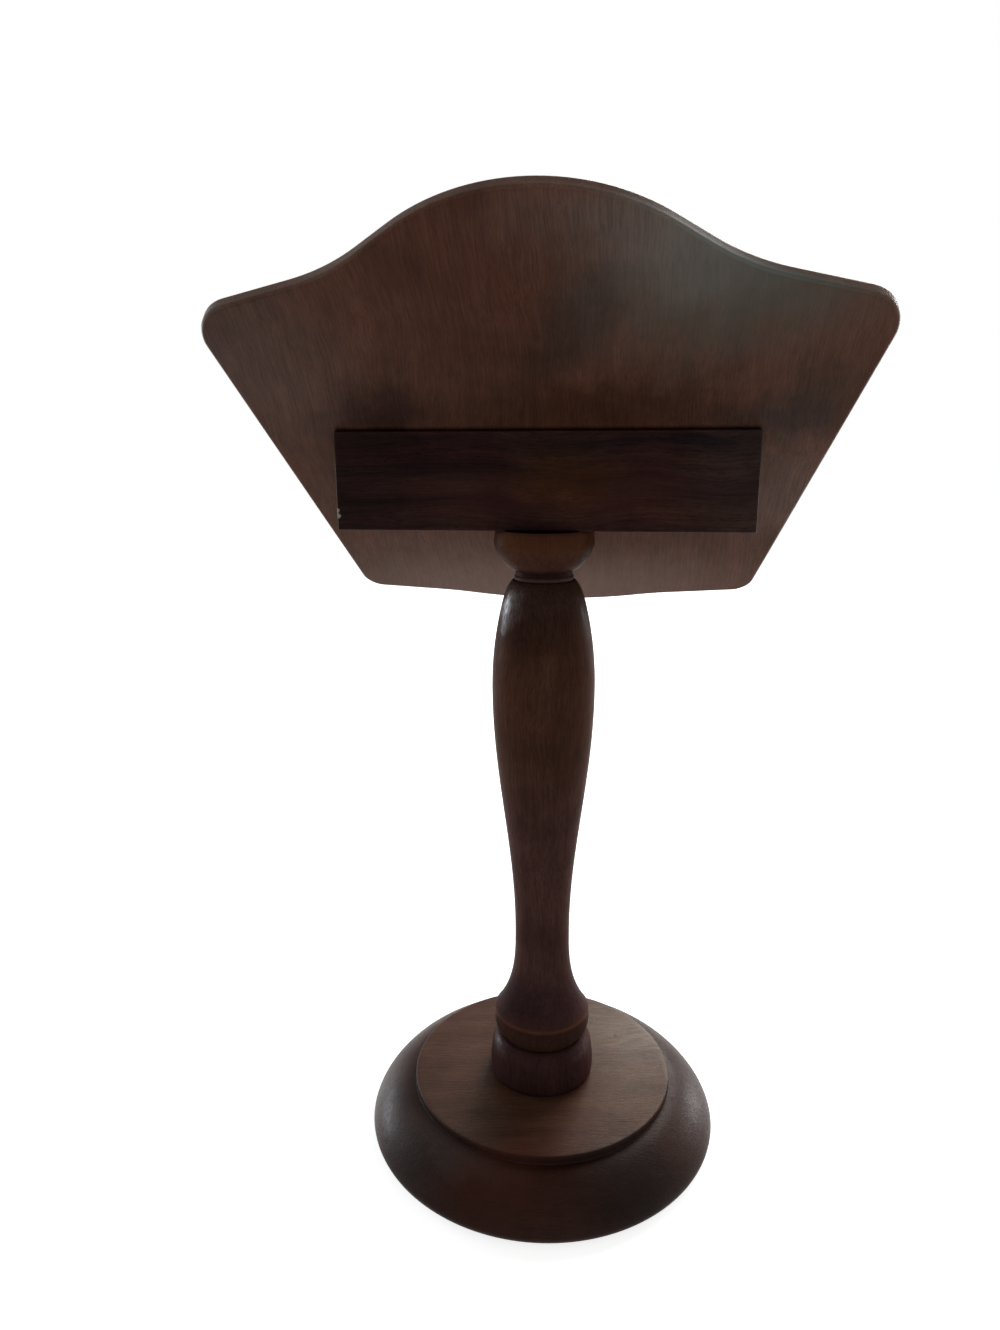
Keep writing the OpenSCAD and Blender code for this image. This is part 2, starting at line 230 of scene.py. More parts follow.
# Edges and corners: the finish is rubbed thin along the edges, in broken patches, and the corners
# and joints are darkened with painted shade, found from how closed in they are.
edge_reach = 1.6
corner_reach = 4
rubbed_group, rubbed_in, rubbed_out = new_group(
    "edges_and_corners", [("Vector", "Vector")], [("Edges", "Float"), ("Corners", "Float")]
)
edge_room = place(
    rubbed_group, "ShaderNodeAmbientOcclusion", {"Distance": edge_reach * mm},
    samples=16, inside=True, only_local=True,
).outputs["AO"]
corner_room = place(
    rubbed_group, "ShaderNodeAmbientOcclusion", {"Distance": corner_reach * mm}, samples=12
).outputs["AO"]
patch = noise(rubbed_group, rubbed_in["Vector"], scale=1.3, detail=5, roughness=0.65)["Fac"]
rubbed_edge = times(
    rubbed_group, remap(rubbed_group, edge_room, 0.85, 0.45), remap(rubbed_group, patch, 0.36, 0.62)
)
rubbed_group.links.new(rubbed_edge, rubbed_out.inputs["Edges"])
rubbed_group.links.new(remap(rubbed_group, corner_room, 0.8, 0.3), rubbed_out.inputs["Corners"])


def stain(red, green, blue):
    """A finish's colour, given as it looks on a screen from 0 to 255."""
    scene_linear = []
    for value in (red, green, blue):
        value /= 255
        scene_linear.append(value / 12.92 if value <= 0.04045 else ((value + 0.055) / 1.055) ** 2.4)
    return (*scene_linear, 1.0)


def lacquered_wood(
    name, turn, dark, middle, light, bare, figure=0.6, pores=0.7, cloud=0.3, wear=0.5, shift=0.0,
    gloss=0.06, relief=0.16, corner_shading=0.6,
):
    """Stained hardwood under satin lacquer. turn brings the grain's direction onto x, in degrees.

    bare is the wood's colour where edges are rubbed, as far as wear says, and corner_shading says
    how dark the painted shade in the corners is. shift takes the grain from another place of the
    board.
    """
    material, tree, surface, where = new_material(name)
    along = place(tree, "ShaderNodeMapping", {
        "Vector": where, "Location": (shift, 2 * shift, -shift), "Scale": (100, 100, 100),
        "Rotation": tuple(math.radians(angle) for angle in turn),
    }).outputs[0]
    grain = place(tree, "ShaderNodeGroup", node_tree=grain_group)
    tree.links.new(along, grain.inputs["Vector"])
    for label, value in (("Dark", dark), ("Middle", middle), ("Light", light),
                         ("Figure", figure), ("Pores", pores), ("Cloud", cloud)):
        grain.inputs[label].default_value = value
    rubbed = place(tree, "ShaderNodeGroup", node_tree=rubbed_group)
    tree.links.new(along, rubbed.inputs["Vector"])
    worn = times(tree, rubbed.outputs["Edges"], wear)
    # Painted shade in corners and joints, mixed towards the dark grain colour.
    shaded_or_toned = times(tree, rubbed.outputs["Corners"], corner_shading)
    colour = blend_colour(tree, worn, grain.outputs["Color"], bare)
    colour = blend_colour(tree, shaded_or_toned, colour, dark)
    tree.links.new(colour, surface.inputs["Base Color"])
    tree.links.new(grain.outputs["Roughness"], surface.inputs["Roughness"])
    bump = place(tree, "ShaderNodeBump", {
        "Strength": relief, "Distance": 0.4 * mm, "Height": grain.outputs["Height"],
    })
    tree.links.new(bump.outputs[0], surface.inputs["Normal"])
    surface.inputs["Specular IOR Level"].default_value = gloss
    surface.inputs["Coat Roughness"].default_value = 0.3
    return material


def tint(material, mask, colour, mode="MIX"):
    """Works a colour into a material's wood where the mask says so."""
    tree = material.node_tree
    base_colour = tree.nodes["Principled BSDF"].inputs["Base Color"]
    before = base_colour.links[0].from_socket
    tree.links.new(blend_colour(tree, mask, before, colour, mode), base_colour)


def shade(material, mask, *kept):
    """Keeps this share of the red, green and blue of a material's wood where the mask says so."""
    tint(material, mask, (*kept, 1), "MULTIPLY")


def object_point(material):
    """The place on the object, in metres, a little ruffled so that no patch has a clean edge."""
    tree = material.node_tree
    reach = (20 * mm, 20 * mm, 20 * mm)
    return ruffled(tree, on_object(tree), scale=60, detail=4, roughness=0.6, reach=reach)


def band(material, low, high, soft):
    """A mask that is 1 between two heights and fades out softly past them, in millimetres."""
    tree = material.node_tree
    height = place(tree, "ShaderNodeSeparateXYZ", {0: on_object(tree)}).outputs["Z"]
    over_low = remap(tree, height, (low - soft) * mm, (low + soft) * mm)
    under_high = remap(tree, height, (high + soft) * mm, (high - soft) * mm)
    return times(tree, over_low, under_high)


def spot(material, where, centre, radii, turn=0.0, strength=1.0):
    """A mask that fades from the middle of an ellipsoid to its surface, in millimetres.

    The ellipsoid is turned round y by an angle in degrees.
    """
    tree = material.node_tree
    inside = place(tree, "ShaderNodeMapping", {
        "Vector": where, "Location": Vector(centre) * mm, "Rotation": (0, math.radians(turn), 0),
        "Scale": Vector(radii) * mm,
    }, vector_type="TEXTURE").outputs[0]
    away = place(tree, "ShaderNodeVectorMath", {0: inside}, operation="LENGTH").outputs["Value"]
    fade = {0: away, 1: 1.0, 2: 0.1, 3: 0.0, 4: strength}
    return place(tree, "ShaderNodeMapRange", fade, interpolation_type="SMOOTHSTEP").outputs[0]


def polish(material, *masks, streaks=0.8):
    """Gives a material a glossier coat where its masks say so, thinner where the grain is sunken.

    streaks says how much the coat differs between sunken and raised grain.
    """
    tree = material.node_tree
    grain = next(
        node for node in tree.nodes if node.type == "GROUP" and node.node_tree == grain_group
    )
    even = 0.75
    streaked = remap(
        tree, grain.outputs["Sunken"], 0.1, 0.8, even + streaks / 2, even - streaks / 2
    )
    coat = times(tree, plus(tree, *masks), streaked)
    tree.links.new(coat, tree.nodes["Principled BSDF"].inputs["Coat Weight"])


base_stations = [(bore_radius, bore_top), (bore_radius, felt_thick), (underside_radius, felt_thick)]
base_stations += quarter(
    (base_radius - base_foot_round, skirt_foot), base_foot_round, base_foot_round, -90, 0, 6
)
for t in steps_to_one(28):
    drawn_in = skirt_drawn_in * (1 - (1 - t ** skirt_curl) ** (1 / skirt_curl))
    base_stations.append((base_radius - drawn_in, skirt_foot + skirt_tall * t))
base_stations += [
    (flat_radius + 0.3, skirt_top + 0.1), (flat_radius + 0.06, skirt_top + 0.4),
    (flat_radius, skirt_top + 1), (flat_radius, flat_up - step_round),
]
base_stations += quarter(
    (flat_radius - step_round, flat_up - step_round), step_round, step_round, 15, 90, 4
)
base_stations += [(flat_radius - 2.5, flat_up), (plinth_seat, flat_up)]
base = turned("turned_base", base_stations)
base_wood = lacquered_wood(
    "base_wood", (0, 0, -7),
    dark=stain(36, 18, 12), middle=stain(80, 52, 39), light=stain(108, 78, 60),
    bare=stain(150, 112, 84),
    figure=0.4, pores=0.6, cloud=0.3, wear=0.3, relief=0.3, corner_shading=0.3,
)
base_tree = base_wood.node_tree
base_where = object_point(base_wood)
crisp = 0.15
around = band(base_wood, 0, flat_up - 0.25, crisp)
on_step = band(base_wood, skirt_top + 0.3, flat_up - 0.25, crisp)
on_flat = band(base_wood, flat_up - 0.2, 40, crisp)
on_skirt = band(base_wood, 0, skirt_top + 0.1, crisp)
# Painted shade: everything below the flat, the skirt and the step, is darkened, as the flat faces
# the light and they do not.
shade(base_wood, around, 0.43, 0.38, 0.42)
# Painted shade on the wall of the step.
shade(base_wood, on_step, 0.62, 0.62, 0.62)
# Painted shadow of the column, falling across the flat and the skirt on the +y side.
painted_column_shadow = spot(base_wood, base_where, (-3, 62, flat_up), (34, 24, 100))
shade(base_wood, painted_column_shadow, 0.6, 0.42, 0.36)
reddened = spot(base_wood, base_where, (15, 72, 20), (36, 22, 100), strength=0.6)
tint(base_wood, reddened, stain(70, 35, 24))
# Painted shade on the flat's +x side, away from the light.
painted_side_shade = spot(base_wood, base_where, (58, 24, flat_up), (42, 54, 100))
shade(base_wood, painted_side_shade, 0.78, 0.78, 0.78)
# Painted sheen: a paler, greyer glow on the back and -x part of the flat.
painted_flat_sheen = plus(
    base_tree,
    spot(base_wood, base_where, (-48, -38, flat_up), (70, 56, 20), strength=0.25),
    spot(base_wood, base_where, (-46, 14, flat_up), (30, 34, 20), strength=0.16),
)
tint(base_wood, times(base_tree, painted_flat_sheen, on_flat), stain(150, 134, 114))
# Painted light on the skirt just below the step, on the +y side, lifting the shade there.
painted_skirt_light = spot(base_wood, base_where, (34, 54, 25), (50, 34, 12), strength=0.3)
tint(base_wood, times(base_tree, painted_skirt_light, on_skirt), stain(98, 78, 70))
# Painted shade at two places on the skirt's +y side, darker and cooler.
for shaded_front_place, kept in (((-52, 64, 10), (0.6, 0.82, 1)), ((60, 60, 10), (0.7, 0.85, 1.05))):
    shade(base_wood, spot(base_wood, base_where, shaded_front_place, (40, 36, 100)), *kept)
dent = spot(base_wood, base_where, (-37, -29, flat_up), (4, 1.6, 9), strength=0.7)
tint(base_wood, dent, stain(46, 32, 24))
polish(
    base_wood,
    spot(base_wood, base_where, (-52, -40, flat_up), (62, 56, 8), strength=0.2),
    spot(base_wood, base_where, (base_radius, 26, 12), (24, 56, 40), strength=0.3),
    spot(base_wood, base_where, (-85, 0, 14), (24, 38, 40), strength=0.19),
)
base.data.materials.append(base_wood)
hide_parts("base_disc")
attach(base, "root")

# The felt: a disc of dark wool felt glued under the base, so that the stand doesn't mark a table.
# It also closes the counterbore.
felt_radius = 77
felt = turned("base_felt_pad", [
    (felt_radius - 0.8, 0), (felt_radius - 0.1, 0.35), (felt_radius, 0.9),
    (felt_radius, felt_thick), (20, felt_thick),
])
felt_material, felt_tree, felt_surface, felt_where = new_material("wool_felt")
fluff = noise(felt_tree, felt_where, scale=900, detail=4)["Fac"]
matting = noise(felt_tree, felt_where, scale=60, detail=3)["Fac"]
mottled = plus(felt_tree, times(felt_tree, fluff, 0.6), times(felt_tree, matting, 0.4))
felt_colour = blend_colour(
    felt_tree, remap(felt_tree, mottled, 0.35, 0.65), stain(22, 34, 27), stain(44, 62, 50)
)
felt_tree.links.new(felt_colour, felt_surface.inputs["Base Color"])
felt_surface.inputs["Roughness"].default_value = 0.95
felt_surface.inputs["Sheen Weight"].default_value = 0.3
felt_bump = place(felt_tree, "ShaderNodeBump", {
    "Strength": 0.5, "Distance": 0.3 * mm, "Height": fluff,
})
felt_tree.links.new(felt_bump.outputs[0], felt_surface.inputs["Normal"])
felt.data.materials.append(felt_material)
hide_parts("base_felt")
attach(felt, "root")

# The column: one spindle turned between centres from square stock of about 52 mm. It has a barrel
# plinth, a narrow groove, a bead, a flare with a sharp lower edge, a slender stem, a long vase, a
# thin ring, a hollow and a cup. Round tenons hold it in the base and in the block.
plinth_radius = 25.7
plinth_top = 40
plinth_shoulder_wide = 5.4
plinth_shoulder_tall = 10
groove_radius = 19.8
groove_up = 50.6
bead_radius = 23.6
bead_middle = 59
bead_half_tall = 7.8
flare_foot = 63
flare_radius = 23.4
stem_radius = 13.2
stem_up = 106
vase_radius = 23.6
vase_up = 229.6
vase_top_tall = 49.6
vase_drawn_in = 9.4
ring_radius = 13.4
ring_up = 280.3
ring_round = 1.1
neck_radius = 12.7
cup_up = 295.9
cup_tall = 12.5
cup_curl = 1.5
cup_radius = 22.3
rim_tall = 5.7
rim_drawn_in = 0.7
column_top = 302.1
column_stations = [(plinth_radius - 1.1, flat_up), (plinth_radius - 0.6, flat_up + 0.3)]
for t in steps_to_one(8):
    barrel = plinth_radius - 0.5 * (2 * t - 1) ** 2
    column_stations.append((barrel, flat_up + (plinth_top - flat_up) * t))
column_stations += quarter(
    (groove_radius, plinth_top), plinth_shoulder_wide, plinth_shoulder_tall, 9, 90, 10
)
column_stations += [
    (groove_radius - 0.15, groove_up - 0.3), (groove_radius - 0.2, groove_up),
    (groove_radius - 0.15, groove_up + 0.3),
]
column_stations += quarter(
    (groove_radius, bead_middle), bead_radius - groove_radius, bead_half_tall, -90, 29, 14
)
column_stations += [
    (flare_radius - 0.28, flare_foot - 0.12), (flare_radius - 0.04, flare_foot - 0.02),
    (flare_radius - 0.02, flare_foot + 0.2),
]
for t in steps_to_one(24):
    flared = stem_radius + (flare_radius - stem_radius) * (1 - t) ** 3
    column_stations.append((flared, flare_foot + (stem_up - flare_foot) * t))
for t in steps_to_one(30):
    swollen = stem_radius + (vase_radius - stem_radius) * (1 - math.cos(math.pi * t)) / 2
    column_stations.append((swollen, stem_up + (vase_up - stem_up) * t))
for even_step in steps_to_one(28):
    t = 1 - (1 - even_step) ** 1.5
    rounded = vase_radius - vase_drawn_in * (0.8 * t ** 2 + 0.2 * t ** 16)
    column_stations.append((rounded, vase_up + vase_top_tall * t))
column_stations += [(ring_radius, vase_up + vase_top_tall + 0.02)]
column_stations += quarter(
    (neck_radius, ring_up), ring_radius - neck_radius, ring_round, -80, 80, 8
)
column_stations += [
    (neck_radius + 0.02, ring_up + ring_round + 0.1),
    (neck_radius + 0.02, cup_up - cup_tall - 0.2),
]
for t in reversed([0] + steps_to_one(14)):
    bowl = (cup_radius - neck_radius) * (1 - t ** cup_curl) ** (1 / cup_curl)
    column_stations.append((neck_radius + bowl + 0.02, cup_up - cup_tall * t))
for t in steps_to_one(5):
    column_stations.append((cup_radius - rim_drawn_in * t ** 2, cup_up + rim_tall * t))
column_stations += [
    (cup_radius - 1, column_top - 0.1), (cup_radius - 1.7, column_top), (10, column_top),
]
column = turned("turned_column", column_stations, sides=128)
column_wood = lacquered_wood(
    "column_wood", (0, 90, 0),
    dark=stain(38, 22, 18), middle=stain(80, 53, 42), light=stain(102, 69, 54),
    bare=stain(150, 96, 62),
    figure=0.5, pores=0.6, cloud=0.35, wear=0.5, shift=7.3, gloss=0.006,
)
column_tree = column_wood.node_tree
column_where = object_point(column_wood)
for low, high, soft, kept in (
    (20, 51, 2, (0.7, 0.72, 1)),  # plinth
    (51, 62.6, 0.5, (0.62, 0.62, 0.62)),  # bead
    (64, 190, 25, (1.02, 1.1, 1.4)),  # stem and lower half of the vase
    (63.4, 84, 6, (0.62, 0.64, 0.82)),  # flare
    (262, 279, 14, (0.32, 0.34, 0.4)),  # vase's shoulder
):
    shade(column_wood, band(column_wood, low, high, soft), *kept)
# Painted highlight along the flare's sharp lower edge, where the finish is also rubbed.
lit_rubbed_flare_edge = times(column_tree, band(column_wood, 62.1, 63.5, 0.7), 0.36)
tint(column_wood, lit_rubbed_flare_edge, stain(124, 74, 48))
browned_cup = times(column_tree, band(column_wood, 294, 301, 3), 0.42)
tint(column_wood, browned_cup, stain(98, 56, 28))
# Painted sheen on the thin ring, paler and bluer.
ring_sheen_band = band(column_wood, ring_up - 1, ring_up + ring_round, 0.15)
shade(column_wood, ring_sheen_band, 1.7, 2.1, 2.7)
# Painted shade in the hollow between the ring and the cup.
shaded_neck_hollow = band(column_wood, 281.5, 285, 0.5)
shade(column_wood, shaded_neck_hollow, 0.6, 0.6, 0.75)
# Painted shade: the cup's top face under the block is made nearly black.
shaded_cup_top = band(column_wood, column_top - 0.15, 310, 0.05)
tint(column_wood, shaded_cup_top, stain(12, 5, 4))
# Painted shade down both sides of the cup.
for side in (-22, 22):
    shaded_cup_side = spot(column_wood, column_where, (side, 4, 293), (13, 26, 13), strength=0.95)
    shade(column_wood, shaded_cup_side, 0.42, 0.4, 0.4)
shoulder_shine = plus(
    column_tree,
    times(column_tree, band(column_wood, 262, 279, 9), 0.08),
    spot(column_wood, column_where, (14, 12, 275), (10, 14, 19), strength=0.9),
)
polish(
    column_wood,
    times(column_tree, shoulder_shine, band(column_wood, 200, 278.4, 0.5)),
    spot(column_wood, column_where, (22, 12, 46), (12, 14, 9), strength=0.22),
    spot(column_wood, column_where, (-22, 10, 46), (10, 14, 9), strength=0.16),
)
column.data.materials.append(column_wood)
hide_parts("column")
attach(column, "root")

# The wedge block: a bar of the same hardwood, sawn to the lean of the board along its front and
# left square behind. It is glued on the column's top tenon. One corner has lost two flecks of
# finish.
lean = math.radians(45)
block_half = 89.5
block_front = -30
block_back = 14
block_tall = 42
block_edge_round = 0.7


def bar(name, low, high):
    """A square-edged bar between two corners in millimetres, left in edit mode, all selected."""
    low, high = Vector(low) * mm, Vector(high) * mm
    bpy.ops.object.select_all(action="DESELECT")
    bpy.ops.mesh.primitive_cube_add(size=1, location=(low + high) / 2)
    piece = bpy.context.object
    piece.name = name
    bpy.ops.object.mode_set(mode="EDIT")
    bpy.ops.mesh.select_all(action="SELECT")
    bpy.ops.transform.resize(value=high - low, center_override=(low + high) / 2)
    bpy.ops.object.mode_set(mode="OBJECT")
    bpy.ops.object.transform_apply(location=True, rotation=True, scale=True)
    bpy.ops.object.mode_set(mode="EDIT")
    bpy.ops.mesh.select_all(action="SELECT")
    return piece


def ease_edges(piece, width, segments=3, angle=60):
    """Rounds a piece's sharp edges a little and keeps its flat faces flat in shading."""
    bpy.ops.object.mode_set(mode="OBJECT")
    bpy.ops.object.select_all(action="DESELECT")
    piece.select_set(True)
    bpy.context.view_layer.objects.active = piece
    rounding = piece.modifiers.new("rounding", "BEVEL")
    rounding.width = width * mm
    rounding.segments = segments
    rounding.limit_method = "ANGLE"
    rounding.angle_limit = math.radians(angle)
    bpy.ops.object.modifier_apply(modifier="rounding")
    bpy.ops.object.shade_smooth_by_angle(angle=math.radians(50))
    flats = piece.modifiers.new("flats", "WEIGHTED_NORMAL")
    flats.keep_sharp = True
    flats.weight = 100
    bpy.ops.object.modifier_apply(modifier="flats")


block = bar(
    "wedge_block_bar",
    (-block_half, block_front, column_top), (block_half, block_back, column_top + block_tall),
)
bpy.ops.mesh.bisect(
    plane_co=Vector((-block_half, block_front, column_top)) * mm,
    plane_no=(0, -math.cos(lean), math.sin(lean)), use_fill=True, clear_outer=True,
)
bpy.ops.mesh.select_all(action="SELECT")
bpy.ops.mesh.normals_make_consistent(inside=False)
ease_edges(block, block_edge_round, angle=30)
block_wood = lacquered_wood(
    "block_wood", (0, 0, 0),
    dark=stain(15, 9, 12), middle=stain(43, 29, 29), light=stain(82, 52, 44),
    bare=stain(150, 118, 96),
    figure=0.9, pores=1.0, cloud=0.4, wear=0.14, shift=13.7, gloss=0.02,
)
block_tree = block_wood.node_tree
ragged = ruffled(
    block_tree, on_object(block_tree), scale=900, detail=2, roughness=0.5,
    reach=(1.6 * mm, 1.6 * mm, 1.6 * mm),
)
for fleck, radius in (((89.3, block_back, 310.6), 1.1), ((89.2, block_back, 308.3), 1.5)):
    away = place(
        block_tree, "ShaderNodeVectorMath", {0: ragged, 1: Vector(fleck) * mm}, operation="DISTANCE"
    ).outputs["Value"]
    bare_fleck = remap(block_tree, away, radius * mm, 0.7 * radius * mm)
    tint(block_wood, bare_fleck, stain(196, 184, 168))
reddened = spot(block_wood, ragged, (-25, block_back, 319), (120, 30, 19), strength=0.3)
tint(block_wood, reddened, stain(82, 46, 40))
for across, up, wide, high, kept in (
    (76, 310, 52, 20, (0.6, 0.68, 0.76)),  # low at one end
    (44, 336, 44, 14, (0.68, 0.58, 0.7)),  # along the upper edge
    (-9, 324, 32, 20, (1.15, 1.15, 0.68)),  # browner middle
    (-82, 324, 36, 60, (0.95, 1.35, 1.4)),  # cooler other end
):
    shaded_or_toned = spot(block_wood, ragged, (across, block_back, up), (wide, 30, high))
    shade(block_wood, shaded_or_toned, *kept)
block.data.materials.append(block_wood)
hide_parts("wedge_block")
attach(block, "root")

# The book board: a panel 6.5 mm thick, sawn to a crowned outline with hollows beside the crown,
# rounded corners and a bellied foot, and sanded round its edges. It lies against the slanted face
# of the block, and two countersunk screws hold it there from the front.
board_thick = 6.5
board_high = 233
board_drop = 65
board_gap = 0.01
crown_radius = 88
crown_slope = 34
crown_run = 16
hollow_radius = 93
shoulder_slope = 15
shoulder_wide = 133
shoulder_round = 16
foot_wide = 98.5
foot_round = 11
belly_radius = 210
belly_slope = 11.5
foot_hollow_radius = 180
foot_slope = 5.7
board_edge_round = 1.6
screw_across = 60
screw_up = board_drop + block_tall / math.cos(lean) / 2
head_radius = 3.78
shank_radius = 1.98
head_deep = 1.8


def leaned(piece):
    """Brings a piece from the board's own frame, z up along it from its foot, to its place."""
    hinge = Vector((0, block_front, column_top + board_gap)) * mm
    foot = Vector((0, 0, -board_drop)) * mm
    piece.data.transform(
        Matrix.Translation(hinge) @ Matrix.Rotation(-lean, 4, "X") @ Matrix.Translation(foot)
    )


def falling(degrees):
    """The direction to the right that falls by an angle."""
    return Vector((math.cos(math.radians(degrees)), 0, -math.sin(math.radians(degrees))))


def above(degrees):
    """The upward direction square to the one that falls to the right by an angle."""
    return Vector((math.sin(math.radians(degrees)), 0, math.cos(math.radians(degrees))))


bpy.ops.object.select_all(action="DESELECT")
bpy.ops.mesh.primitive_plane_add(size=0.01, location=(0, 0, 0))
board = bpy.context.object
board.name = "book_board_panel"
bpy.ops.object.mode_set(mode="EDIT")
bpy.ops.mesh.select_all(action="SELECT")
bpy.ops.mesh.merge(type="CENTER")
bpy.ops.transform.translate(value=(0, 0, board_high * mm))
pen = Vector((0, 0, board_high))


def pen_line(end):
    """Draws a straight edge from the pen to a point."""
    global pen
    stroke = (Vector(end) - pen) * mm
    bpy.ops.mesh.extrude_region_move(
        TRANSFORM_OT_translate={"value": stroke, "orient_type": "GLOBAL"}
    )
    pen = Vector(end)


def pen_arc(centre, degrees, steps):
    """Draws an arc round a centre. Positive degrees turn from up towards the right."""
    turn = Matrix.Rotation(math.radians(degrees) / steps, 3, "Y")
    for _ in range(steps):
        pen_line(Vector(centre) + turn @ (pen - Vector(centre)))


pen_arc((0, 0, board_high - crown_radius), crown_slope, 16)
pen_line(pen + crown_run * falling(crown_slope))
pen_arc(pen + hollow_radius * above(crown_slope), shoulder_slope - crown_slope, 10)
shoulder_fall = (shoulder_wide - pen.x) * math.tan(math.radians(shoulder_slope))
shoulder_corner = Vector((shoulder_wide, 0, pen.z - shoulder_fall))
pen_line(shoulder_corner)
belly_end = Vector((0, 0, belly_radius)) - belly_radius * above(-belly_slope)
hollow_centre = belly_end - foot_hollow_radius * above(-belly_slope)
hollow_start = hollow_centre + foot_hollow_radius * above(-foot_slope)
foot_rise = (foot_wide - hollow_start.x) * math.tan(math.radians(foot_slope))
foot_corner = Vector((foot_wide, 0, hollow_start.z + foot_rise))
pen_line(foot_corner)
pen_line(hollow_start)
pen_arc(hollow_centre, foot_slope - belly_slope, 5)
pen_arc((0, 0, belly_radius), belly_slope, 8)


def round_corner(corner, before, after, radius, segments):
    """Rounds one corner of the board's outline to a radius, in millimetres."""
    outline = bmesh.from_edit_mesh(board.data)
    for vertex in outline.verts:
        vertex.select = (vertex.co - corner * mm).length < 0.05 * mm
    outline.select_flush_mode()
    bmesh.update_edit_mesh(board.data)
    inside = (before - corner).angle(after - corner)
    bpy.ops.mesh.bevel(
        offset=radius / math.tan(inside / 2) * mm, segments=segments, affect="VERTICES", profile=0.5
    )


bpy.ops.mesh.select_mode(type="VERT")
up_the_shoulder = shoulder_corner - falling(shoulder_slope)
round_corner(shoulder_corner, up_the_shoulder, foot_corner, shoulder_round, segments=12)
round_corner(foot_corner, shoulder_corner, hollow_start, foot_round, segments=10)
bpy.ops.mesh.select_all(action="SELECT")
bpy.ops.mesh.duplicate()
bpy.ops.transform.mirror(constraint_axis=(True, False, False), center_override=(0, 0, 0))
bpy.ops.mesh.select_all(action="SELECT")
bpy.ops.mesh.remove_doubles(threshold=0.02 * mm)
bpy.ops.mesh.edge_face_add()
bpy.ops.mesh.extrude_region_move(
    TRANSFORM_OT_translate={"value": (0, -board_thick * mm, 0), "orient_type": "GLOBAL"}
)
bpy.ops.mesh.select_all(action="SELECT")
bpy.ops.mesh.normals_make_consistent(inside=False)
bpy.ops.object.mode_set(mode="OBJECT")
for side in (-1, 1):
    bpy.ops.object.select_all(action="DESELECT")
    countersink = Vector((side * screw_across, -board_thick + head_deep / 2, screw_up)) * mm
    bpy.ops.mesh.primitive_cone_add(
        vertices=48, radius1=head_radius * mm, radius2=shank_radius * mm, depth=head_deep * mm,
        location=countersink, rotation=(-math.pi / 2, 0, 0),
    )
    drill = bpy.context.object
    board.select_set(True)
    bpy.context.view_layer.objects.active = board
    hole = board.modifiers.new("screw_hole", "BOOLEAN")
    hole.operation = "DIFFERENCE"
    hole.object = drill
    bpy.ops.object.modifier_apply(modifier="screw_hole")
    bpy.data.objects.remove(drill)
ease_edges(board, board_edge_round, segments=6)
leaned(board)
board_wood = lacquered_wood(
    "board_wood", (45, 90, 0),
    dark=stain(38, 20, 15), middle=stain(94, 60, 46), light=stain(124, 85, 66),
    bare=stain(150, 112, 84),
    figure=0.38, pores=0.42, cloud=0.3, wear=0.45, shift=3.1, relief=0.12,
)
board_tree = board_wood.node_tree
board_where = object_point(board_wood)
out_of_back = Vector((0, math.sin(lean), -math.cos(lean)))
depth = place(board_tree, "ShaderNodeVectorMath", {
    0: on_object(board_tree), 1: out_of_back,
}, operation="DOT_PRODUCT").outputs["Value"]
back_face = out_of_back.dot(Vector((0, block_front, column_top + board_gap)))


def board_layer(start, full):
    """A mask that grows from 0 to 1 between two depths under the board's back, in millimetres."""
    return remap(board_tree, depth, (back_face - start) * mm, (back_face - full) * mm)


def board_spot(across, up, wide, high, turn=0, strength=1.0):
    """A spot through the whole board, placed as it is seen from behind, in millimetres."""
    return spot(board_wood, board_where, (across, 0, up), (wide, 1000, high), turn, strength)


behind = board_layer(3.663, 1.663)
for across, up, wide, high, turn, kept in (
    (-13, 381, 17, 44, -48, (0.5, 0.58, 0.68)),  # blue-black streak, a painted reflection of the dark column and base
    (64, 354, 28, 16, 0, (0.42, 0.34, 0.29)),  # painted shade over one end of the block
    (-20, 352, 110, 18, 0, (0.46, 0.4, 0.36)),  # painted shade along the top of the block
    (76, 347, 44, 12, 0, (0.52, 0.44, 0.5)),  # and at its one end
    (-90, 348, 36, 12, 0, (0.58, 0.68, 0.8)),  # and at its other end
    (-108, 356, 30, 22, 20, (0.68, 0.8, 0.86)),  # edge beside the block
    (26, 395, 72, 52, 0, (0.74, 0.65, 0.62)),  # crown
    (116, 385, 56, 50, 0, (0.74, 0.76, 0.8)),  # upper corner
):
    darkened = times(board_tree, board_spot(across, up, wide, high, turn), behind)
    shade(board_wood, darkened, *kept)
# Painted light on the back: pale patches where the floor is reflected or lights it from below.
for across, up, wide, high, turn, strength, colour in (
    (-78, 404, 86, 46, 12, 0.8, stain(88, 88, 81)),  # hollow beside the crown, a painted reflection of the lit floor
    (10, 258, 150, 46, 0, 0.58, stain(130, 100, 86)),  # foot, painted light from the floor below
):
    painted_floor_light = times(board_tree, board_spot(across, up, wide, high, turn, strength), behind)
    tint(board_wood, painted_floor_light, colour)
# Painted light on the board's top edge, which faces up towards the light.
painted_lit_top_edge = times(
    board_tree, board_layer(0.013, 0.463), board_layer(6.363, 6.163), band(board_wood, 354, 440, 8)
)
shade(board_wood, painted_lit_top_edge, 1.5, 1.8, 1.9)
